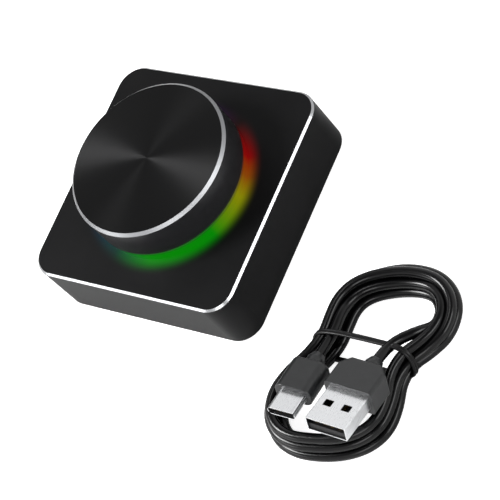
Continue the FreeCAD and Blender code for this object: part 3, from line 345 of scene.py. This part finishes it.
def glowing_plastic(name):
    """Smoked translucent plastic, lit from inside: brightest at its foot."""
    nodes = material_nodes(name)
    spot, x, y, z = nodes.spot()
    grain = nodes.noise(spot, 700.0, 2.0)
    fall = nodes.value("MULTIPLY", fade(nodes, z, *RING_GLOW), 1.0 - RING_GLOW_LEAST)
    light = nodes.value("ADD", fall, RING_GLOW_LEAST)
    surface = nodes.shader(
        Base_Color=nodes.ramp(grain, [(0.3, srgb(8, 9, 8)), (0.7, srgb(13, 14, 13))]),
        Roughness=nodes.band(grain, 0.3, 0.7, 0.35, 0.5),
        Specular_IOR_Level=0.15,
        Emission_Color=nodes.mix(1.0, glow_color(nodes, x, y), light, "MULTIPLY"),
        Emission_Strength=1.0)
    return nodes.finish(surface)


def plain(name, dark, light, scale, roughness, metallic=0.0, bump=0.1, specular=0.5):
    """A material with a fine grain in its colour, roughness and surface."""
    nodes = material_nodes(name)
    spot = nodes.spot()[0]
    grain = nodes.noise(spot, scale, 4.0)
    cloud = nodes.noise(spot, scale * 0.06, 3.0)
    both = nodes.value("MULTIPLY_ADD", grain, 0.5, nodes.value("MULTIPLY", cloud, 0.5))
    surface = nodes.shader(
        Base_Color=nodes.ramp(both, [(0.35, srgb(*dark)), (0.65, srgb(*light))]),
        Roughness=nodes.band(grain, 0.25, 0.75, roughness - 0.05, roughness + 0.05),
        Metallic=metallic,
        Normal=nodes.bump(grain, bump, GRAIN_DEPTH),
        Specular_IOR_Level=specular)
    return nodes.finish(surface)


def brushed(name, dark, light, along, roughness):
    """Metal with fine lines along one axis."""
    nodes = material_nodes(name)
    lines = nodes.noise(nodes.stretched(nodes.spot()[0], along), 5000.0, 4.0)
    surface = nodes.shader(
        Base_Color=nodes.ramp(lines, [(0.3, srgb(*dark)), (0.7, srgb(*light))]),
        Roughness=nodes.band(lines, 0.3, 0.7, roughness - 0.06, roughness + 0.06),
        Metallic=1.0,
        Normal=nodes.bump(lines, 0.04, 0.00001))
    return nodes.finish(surface)


# How each plug lies, as in part.py, in millimetres and degrees: its body's front, turn, nose up and lean
PLUG_LAY = {
    "usb_a": ((80.0, -47.2, 16.3), 0.0, 22.0, 4.0),
    "usb_c": ((63.0, -50.0, 15.3), 3.0, 20.0, 6.0),
}
# Half the width and half the height of the opening inside each shell, in metres: the shade inside is painted
# there
OPENING = {"usb_a": (0.0057, 0.00195), "usb_c": (0.00387, 0.00098)}


def plug_frame(plug):
    """The front of the plug's body in metres, and the plug's axes: its cable leaves along the second."""
    spot, turn, nose, lean = PLUG_LAY[plug]
    axes = (Matrix.Rotation(math.radians(turn), 3, "Z") @ Matrix.Rotation(math.radians(-nose), 3, "X")
            @ Matrix.Rotation(math.radians(lean), 3, "Y"))
    return Vector(spot) / MILLIMETRES, axes


def plated(name):
    """Bright nickel-plated shells with fine lines, and painted shade inside their openings."""
    nodes = material_nodes(name)
    spot = nodes.spot()[0]
    # Painted shade: the inside of each shell's opening gets a dark, dull colour
    painted_shade_inside = 0.0
    for plug, (half_wide, half_high) in OPENING.items():
        front, axes = plug_frame(plug)
        away = nodes.vector("SUBTRACT", spot, front)[0]
        within = []
        for column, half in ((0, half_wide), (2, half_high)):
            share = nodes.vector("DOT_PRODUCT", away, axes.col[column])["Value"]
            within.append(nodes.value("LESS_THAN", nodes.value("ABSOLUTE", share), half + OPENING_MARGIN))
        painted_shade_inside = nodes.value("MAXIMUM", painted_shade_inside, nodes.value("MULTIPLY", *within))
    lines = nodes.noise(nodes.stretched(spot, "y"), 3000.0, 2.0)
    bright = nodes.ramp(lines, [(0.3, srgb(226, 227, 229)), (0.7, srgb(238, 239, 241))])
    surface = nodes.shader(
        Base_Color=nodes.mix(painted_shade_inside, bright, srgb(20, 20, 21)),
        Roughness=nodes.mix(painted_shade_inside, nodes.band(lines, 0.3, 0.7, 0.26, 0.32), grey(0.5)),
        Metallic=nodes.mix(painted_shade_inside, grey(1.0), grey(0.1)),
        Specular_IOR_Level=0.4)
    return nodes.finish(surface)


# Colours are sRGB from 0 to 255, and scale is the noise's
PLAIN = {
    "pad_rubber": dict(dark=(22, 22, 22), light=(30, 30, 30), scale=4000.0, roughness=0.8, bump=0.3),
    "cover_plastic": dict(dark=(25, 25, 26), light=(33, 33, 34), scale=5000.0, roughness=0.6, bump=0.2),
    "weight_steel": dict(dark=(130, 131, 133), light=(160, 161, 163), scale=900.0, roughness=0.45,
                         metallic=0.9),
    "board_laminate": dict(dark=(12, 35, 22), light=(18, 45, 28), scale=1500.0, roughness=0.4),
    "led_white": dict(dark=(215, 215, 205), light=(232, 232, 222), scale=2000.0, roughness=0.35),
    "chip_black": dict(dark=(24, 24, 25), light=(34, 34, 35), scale=6000.0, roughness=0.55),
    "component_tan": dict(dark=(150, 120, 85), light=(176, 146, 108), scale=3000.0, roughness=0.5),
    "insulator_black": dict(dark=(12, 12, 13), light=(20, 20, 21), scale=5000.0, roughness=0.5),
    "contact_gold": dict(dark=(205, 165, 85), light=(232, 196, 118), scale=3000.0, roughness=0.25,
                         metallic=1.0, bump=0.03),
    "encoder_plastic": dict(dark=(28, 28, 30), light=(38, 38, 40), scale=4000.0, roughness=0.5),
    "encoder_brass": dict(dark=(190, 185, 165), light=(212, 206, 186), scale=2500.0, roughness=0.3,
                          metallic=1.0, bump=0.05),
    "rotor_plastic": dict(dark=(205, 203, 195), light=(222, 220, 212), scale=2500.0, roughness=0.5),
    "hub_plastic": dict(dark=(36, 36, 37), light=(48, 48, 49), scale=4000.0, roughness=0.5),
    "plug_grey": dict(dark=(30, 31, 32), light=(38, 39, 40), scale=7000.0, roughness=0.32),
    "cable_black": dict(dark=(4, 4, 5), light=(8, 8, 9), scale=3500.0, roughness=0.2, bump=0.02,
                        specular=0.3),
    "tie_black": dict(dark=(9, 9, 10), light=(14, 14, 15), scale=4000.0, roughness=0.32, bump=0.06,
                      specular=0.25),
}
BRUSHED = {
    "screw_steel": dict(dark=(140, 141, 143), light=(175, 176, 178), along="x", roughness=0.35),
    "port_steel": dict(dark=(165, 166, 168), light=(200, 201, 203), along="y", roughness=0.28),
    "encoder_steel": dict(dark=(170, 170, 172), light=(200, 200, 202), along="x", roughness=0.3),
    "spring_steel": dict(dark=(175, 175, 172), light=(205, 205, 202), along="y", roughness=0.25),
    "shaft_aluminium": dict(dark=(175, 176, 178), light=(205, 206, 208), along="z", roughness=0.3),
}
MATERIALS = {
    "base_aluminium": black_anodised("black_anodised"),
    "knob_aluminium": spun_aluminium("spun_aluminium"),
    "light_plastic": glowing_plastic("glowing_plastic"),
    "plug_steel": plated("plug_steel"),
}
MATERIALS.update((slot, plain(slot, **look)) for slot, look in PLAIN.items())
MATERIALS.update((slot, brushed(slot, **look)) for slot, look in BRUSHED.items())

for part in frame["record"]["subparts"]:
    shown = NODES[part["node"]]
    shown.data.materials.clear()
    shown.data.materials.append(MATERIALS[part["material_slot"]])


# ---- the cable's route, in millimetres: the two free ends go as in part.py ----

# From the front of each plug's body to the end of its neck, and how far its lead then runs straight
NECK_END = {"usb_c": 14.5, "usb_a": 14.0}
LEAD_STRAIGHT = 4.6
# The middle of the coil's bundle of turns, seen from above, as in part.py. A program printed these points:
# they are a least-squares fit to the coil's outline in the photograph. That is an open fault
COIL_LINE = [
    (60.3, -29.2), (59.9, -23.4), (59.8, -18.4), (61.7, -13.9), (66.5, -10.2), (75.0, -7.2), (84.0, -7.2),
    (89.8, -12.2), (90.6, -19.1), (87.4, -24.6), (83.6, -29.0), (82.3, -35.5), (84.3, -42.7), (84.2, -48.8),
    (81.0, -53.5), (75.5, -56.8), (68.5, -58.7), (61.5, -59.3), (55.7, -57.5), (52.0, -53.1), (51.4, -47.2),
    (54.0, -41.0), (58.0, -35.3),
]
# Where each turn lies in the bundle at six places along the line: outwards from its middle, and above the
# floor. The turns are in order from the one that is wound first
SEATS = {
    0: [(-1.4, 6.6), (1.3, 7.0), (1.5, 4.2), (1.5, 1.5), (-1.5, 1.5)],
    5: [(-1.2, 4.2), (0.9, 6.9), (3.0, 4.4), (1.2, 1.5), (-2.6, 1.5)],
    10: [(0.7, 7.0), (1.6, 4.2), (1.5, 1.5), (-1.5, 1.5), (-2.1, 4.9)],
    12: [(0.6, 7.0), (0.7, 4.1), (1.5, 1.5), (-1.5, 1.5)],
    16: [(-0.9, 6.7), (0.5, 4.1), (1.9, 1.5), (-1.2, 1.5)],
    20: [(0.2, 6.9), (1.9, 4.3), (1.9, 1.5), (-1.2, 1.5)],
}
# The winding starts at this point of the line, goes round this often, and stops before this one after it
WOUND_FROM = 2
WOUND_ROUNDS = 4
WOUND_PAST = 9
# How the turns settle: samples on each stretch, how near along the line two of them don't push each other,
# the rounds, and the shares of the push, of the smoothing and of the pull back home
SETTLE_SAMPLES = 3
SETTLE_NEIGHBOURS = 4.5
SETTLE_ROUNDS = 200
SETTLE_PUSH = 0.35
SETTLE_SMOOTHING = 0.25
SETTLE_HOMING = 0.02
# Keeps a division by nothing from happening
TINY = 1e-9


def lead(plug, onwards):
    """A lead's points: straight out of the plug's neck, then on to the coil."""
    front, axes = plug_frame(plug)
    back = axes.col[1]
    return [tuple(front * MILLIMETRES + back * reach)
            for reach in (NECK_END[plug], NECK_END[plug] + LEAD_STRAIGHT)] + onwards


def coil_points():
    """The wound turns, from the first free end round both lobes again and again to the other."""
    count = len(COIL_LINE)
    seats = sorted((turn * count + place, *seat)
                   for place, turns in SEATS.items() for turn, seat in enumerate(turns))
    places, asides, heights = zip(*seats)
    points = []
    for step in range(WOUND_FROM, WOUND_ROUNDS * count + WOUND_PAST):
        x, y = COIL_LINE[step % count]
        ahead = COIL_LINE[(step + 1) % count]
        behind = COIL_LINE[step % count - 1]
        along = Vector((ahead[0] - behind[0], ahead[1] - behind[1])).normalized()
        aside = float(np.interp(step, places, asides))
        height = float(np.interp(step, places, heights))
        points.append((x - along.y * aside, y + along.x * aside, height))
    return points


def bend(spots):
    """From each point to the middle of its two neighbours."""
    away = np.zeros_like(spots)
    away[1:-1] = (spots[:-2] + spots[2:]) / 2 - spots[1:-1]
    return away


def settled(points, fixed, spacing):
    """The same points once turns nearer than the spacing have pushed each other apart."""
    spots = np.array(points)
    home = spots.copy()
    starts = np.arange(len(spots) - 1)
    index = np.tile(starts, SETTLE_SAMPLES)
    share = np.repeat(np.arange(SETTLE_SAMPLES) / SETTLE_SAMPLES, len(starts))
    order = np.argsort(index + share)
    index = index[order]
    share = share[order]
    place = index + share
    apart = np.abs(place[:, None] - place[None, :]) > SETTLE_NEIGHBOURS
    for _ in range(SETTLE_ROUNDS):
        samples = spots[index] * (1 - share)[:, None] + spots[index + 1] * share[:, None]
        gap = samples[:, None, :] - samples[None, :, :]
        distance = np.sqrt((gap ** 2).sum(2)) + TINY
        short = np.where(apart & (distance < spacing), spacing - distance, 0.0)
        push = (gap / distance[..., None] * short[..., None]).sum(1) * SETTLE_PUSH
        move = np.zeros_like(spots)
        weight = np.full(len(spots), TINY)
        np.add.at(move, index, push * (1 - share)[:, None])
        np.add.at(move, index + 1, push * share[:, None])
        np.add.at(weight, index, 1 - share)
        np.add.at(weight, index + 1, share)
        move /= weight[:, None]
        move += SETTLE_SMOOTHING * (bend(spots) - bend(home)) + SETTLE_HOMING * (home - spots)
        move[:fixed] = 0
        move[len(spots) - fixed:] = 0
        spots += move
        spots[:, 0] = np.minimum(spots[:, 0], cad_box[1][0] * MILLIMETRES - spacing / 2)
        spots[:, 1] = np.maximum(spots[:, 1], cad_box[0][1] * MILLIMETRES + spacing / 2)
        spots[:, 2] = np.maximum(spots[:, 2], spacing / 2)
    return spots


# ---- pieces ----

def linked(name, data):
    """A new object that shows this data."""
    piece = bpy.data.objects.new(name, data)
    bpy.context.collection.objects.link(piece)
    return piece


def mesh_piece(name, mesh):
    """A piece from a mesh under construction, with its faces turned outwards."""
    bmesh.ops.recalc_face_normals(mesh, faces=mesh.faces)
    data = bpy.data.meshes.new(name)
    mesh.to_mesh(data)
    mesh.free()
    return linked(name, data)


def nurbs(name, points, radius):
    """One open round cord through points in millimetres."""
    data = bpy.data.curves.new(name, "CURVE")
    data.dimensions = "3D"
    data.bevel_depth = radius
    data.bevel_resolution = 5
    data.use_fill_caps = True
    data.resolution_u = 6
    spline = data.splines.new("NURBS")
    spline.points.add(len(points) - 1)
    for point, spot in zip(spline.points, points):
        point.co = (*(part / MILLIMETRES for part in spot), 1.0)
    spline.order_u = 3
    spline.use_endpoint_u = True
    return linked(name, data)


def length_of(piece):
    """The length of a curve's own line, from a copy of it without its thickness."""
    line = linked("line", piece.data.copy())
    line.data.bevel_depth = 0
    mesh = bpy.data.meshes.new_from_object(line.evaluated_get(bpy.context.evaluated_depsgraph_get()))
    spots = [vertex.co.copy() for vertex in mesh.vertices]
    bpy.data.meshes.remove(mesh)
    bpy.data.objects.remove(line)
    return sum((after - before).length for before, after in zip(spots, spots[1:]))


# ---- the tie: two cords side by side, in the leaning plane that its solid has ----

# Millimetres: where its plane meets the floor, how far it leans back over its height, and the band's size
TIE_FOOT = -33.4
TIE_LEAN = 5.6
TIE_RISE = 11.6
TIE_WIDTH = 1.9
TIE_THICK = 0.85
TIE_STEPS = 132
# Points round each of the two cords, and the angle they cover in degrees: the rest is the web between them
TIE_CORD_POINTS = 11
TIE_CORD_SWEEP = 312
# Across the coil and above the floor, round the two bundles of turns that it holds
TIE_LOOP = [
    (60.0, 0.9), (68.0, 0.9), (76.0, 0.9), (83.0, 0.9), (86.9, 2.2), (87.3, 5.0), (86.2, 8.0), (83.0, 9.6),
    (76.0, 9.9), (68.0, 9.9), (62.0, 9.6), (57.8, 8.5), (55.9, 5.6), (56.3, 2.2),
]


def tie_path():
    """Points round the loop, each with the direction out of it, and the direction across the band."""
    count = len(TIE_LOOP)
    places = []
    for step in range(TIE_STEPS):
        start, t = divmod(step * count / TIE_STEPS, 1)
        a, b, c, d = (Vector(TIE_LOOP[(int(start) + ahead) % count]) for ahead in (-1, 0, 1, 2))
        places.append(0.5 * (2 * b + (c - a) * t + (2 * a - 5 * b + 4 * c - d) * t ** 2
                             + (3 * b - a - 3 * c + d) * t ** 3))
    up = Vector((0, TIE_LEAN / TIE_RISE, 1))
    foot = Vector((0, TIE_FOOT, 0))
    points = []
    for step, place in enumerate(places):
        along = (places[(step + 1) % TIE_STEPS] - places[step - 1]).normalized()
        out = (Vector((along.y, 0, 0)) - up * along.x).normalized()
        points.append((foot + Vector((place.x, 0, 0)) + up * place.y, out))
    return points, Vector((1, 0, 0)).cross(up).normalized()


def tie_section():
    """Two round cords with a thin web between them: across the band, and out from it."""
    radius = TIE_THICK / 2
    reach = TIE_WIDTH / 2 - radius
    section = []
    for side in (1, -1):
        for step in range(TIE_CORD_POINTS):
            turn = math.radians(-TIE_CORD_SWEEP / 2 + TIE_CORD_SWEEP * step / (TIE_CORD_POINTS - 1))
            section.append((side * (reach + radius * math.cos(turn)), side * radius * math.sin(turn)))
    return section


def build_tie():
    mesh = bmesh.new()
    path, across = tie_path()
    section = tie_section()
    rings = [[mesh.verts.new((spot + across * aside + out * above) / MILLIMETRES) for aside, above in section]
             for spot, out in path]
    for ring, after in zip(rings, rings[1:] + rings[:1]):
        for j in range(len(section)):
            follow = (j + 1) % len(section)
            mesh.faces.new((ring[j], ring[follow], after[follow], after[j])).smooth = True
    return mesh_piece("twin_tie", mesh)


tie = build_tie()
tie.data.materials.append(MATERIALS["tie_black"])
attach(tie, "base")
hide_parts("cable_tie")


# ---- the snap dome under the spindle: the same turned cap, which the press flattens ----

# The height of its foot in metres, and its section as radius and rise in millimetres, underside first
DOME_FOOT = 0.0117
DOME_PROFILE = [(0.0, 0.68), (1.5, 0.48), (3.0, 0.0), (3.0, 0.12), (1.5, 0.6), (0.0, 0.8)]
DOME_STEPS = 48


def build_dome():
    mesh = bmesh.new()
    rings = []
    for radius, rise in DOME_PROFILE:
        ring = []
        for step in range(DOME_STEPS if radius else 1):
            turn = 2 * math.pi * step / DOME_STEPS
            ring.append(mesh.verts.new((radius / MILLIMETRES * math.cos(turn),
                                        radius / MILLIMETRES * math.sin(turn),
                                        DOME_FOOT + rise / MILLIMETRES)))
        rings.append(ring)
    for ring, after in zip(rings, rings[1:]):
        for step in range(DOME_STEPS):
            corners = [ring[step % len(ring)], ring[(step + 1) % len(ring)],
                       after[(step + 1) % len(after)], after[step % len(after)]]
            # Next to the axis two corners are one, so the face is a triangle
            mesh.faces.new(list(dict.fromkeys(corners)))
    return mesh_piece("snap_dome", mesh)


dome = build_dome()
dome.data.materials.append(MATERIALS["spring_steel"])
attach(dome, "base")
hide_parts("switch_dome")
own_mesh(dome)


# ---- the cable itself ----

LEAD_C = lead("usb_c", [(61.9, -27.2, 7.6), (61.2, -22.5, 6.9)])
LEAD_A = lead("usb_a", [(82.0, -25.8, 8.0), (85.8, -22.2, 7.0)])
route = settled(LEAD_C + coil_points() + LEAD_A[::-1], len(LEAD_C), CABLE * MILLIMETRES)
cable = nurbs("cable", route, CABLE / 2)
cable.data.materials.append(MATERIALS["cable_black"])
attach(cable, "base")
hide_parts("cable_coil", "cable_lead_a", "cable_lead_c")
cable_length = length_of(cable)
print("cable length %.3f m" % cable_length)


# ---- camera, floor and light ----

# The photograph's viewing angle, from a least-squares fit to the base's and the knob's edges in it
CAMERA_LENS = 153.12
CAMERA_SENSOR = 36.0
CAMERA_NEAR = 0.01
CAMERA_PLACE = Matrix((
    (0.8017, -0.1703, 0.5729, 0.36597),
    (0.3901, 0.8754, -0.2856, -0.17995),
    (-0.4529, 0.4524, 0.7682, 0.46462),
    (0.0, 0.0, 0.0, 1.0)))
FLOOR_HALF = 3
FLOOR_GLOW = 0.80
# The sky's light in reflections: white up to this height, and dim from the second one up
SKY_WHITE_UP_TO = 0.5
SKY_DIM_FROM = 0.9
SKY_DIM = 0.16
ROOM_LIGHT = 0.25
# Each softbox: its place, what it points at, its width and height in metres, and its power in watts
SOFTBOXES = {
    "key": ((-0.52, -0.235, 0.64), (0.03, -0.015, 0.01), (0.27, 0.27), 7.0),
    "right": ((0.74, 0.08, 0.53), (0.02, -0.01, 0.02), (0.60, 0.25), 2.6),
    "front": ((0.36, -0.62, 0.54), (0.02, -0.02, 0.02), (0.40, 0.25), 1.4),
    "left": ((-0.52, -0.69, 0.27), (0.02, -0.02, 0.02), (0.40, 0.20), 1.2),
    "top": ((-0.12, 0.17, 0.88), (0.0, 0.0, 0.03), (0.18, 0.18), 0.6),
}


def seen_straight(nodes, ray):
    """1 where the camera sees the surface itself, also through something clear."""
    return nodes.value("MAXIMUM", ray["Is Camera Ray"], ray["Is Transmission Ray"])


def build_floor():
    """A pale floor, which also glows where it is seen but lights nothing by that."""
    corners = [(FLOOR_HALF * x, FLOOR_HALF * y, 0) for x, y in ((-1, -1), (1, -1), (1, 1), (-1, 1))]
    data = bpy.data.meshes.new("floor")
    data.from_pydata(corners, [], [(0, 1, 2, 3)])
    nodes = material_nodes("floor")
    paper = nodes.noise(nodes.spot()[0], 40.0, 2.0)
    diffuse = nodes.add("BsdfDiffuse")
    nodes.link(nodes.ramp(paper, [(0.3, grey(0.86)), (0.7, grey(0.88))]), diffuse.inputs[0])
    glow = nodes.add("Emission")
    glow.inputs[1].default_value = FLOOR_GLOW
    both = nodes.add("AddShader")
    nodes.link(diffuse.outputs[0], both.inputs[0])
    nodes.link(glow.outputs[0], both.inputs[1])
    seen = seen_straight(nodes, nodes.add("LightPath").outputs)
    data.materials.append(nodes.finish(nodes.mix_shaders(seen, diffuse.outputs[0], both.outputs[0])))
    return linked("floor", data)


def background(nodes, strength):
    """An even white background."""
    node = nodes.add("Background")
    node.inputs[0].default_value = (1, 1, 1, 1)
    nodes.feed(node.inputs[1], strength)
    return node.outputs[0]


def build_world():
    """White where it is seen, white below and dim overhead in reflections, and an even room elsewhere."""
    nodes = Nodes(bpy.data.worlds.new("studio"), "OutputWorld")
    ray = nodes.add("LightPath").outputs
    height = nodes.parts(nodes.add("TexCoord").outputs["Generated"])[2]
    sky = nodes.band(height, SKY_WHITE_UP_TO, SKY_DIM_FROM, 1.0, SKY_DIM, smooth=True)
    lit = nodes.mix_shaders(ray["Is Glossy Ray"], background(nodes, ROOM_LIGHT), background(nodes, sky))
    return nodes.finish(nodes.mix_shaders(seen_straight(nodes, ray), lit, background(nodes, 1.0)))


def softbox(name, spot, target, size, power):
    data = bpy.data.lights.new(name, "AREA")
    data.shape = "RECTANGLE"
    data.size, data.size_y = size
    data.energy = power
    light = linked(name, data)
    light.location = spot
    light.rotation_euler = (Vector(target) - Vector(spot)).to_track_quat("-Z", "Y").to_euler()


camera_data = bpy.data.cameras.new("camera")
camera_data.lens = CAMERA_LENS
camera_data.sensor_width = CAMERA_SENSOR
camera_data.clip_start = CAMERA_NEAR
camera = linked("camera", camera_data)
camera.matrix_world = CAMERA_PLACE
bpy.context.scene.camera = camera

floor = build_floor()
bpy.context.scene.world = build_world()
for name, settings in SOFTBOXES.items():
    softbox(name, *settings)

bpy.context.scene.view_settings.view_transform = "Standard"
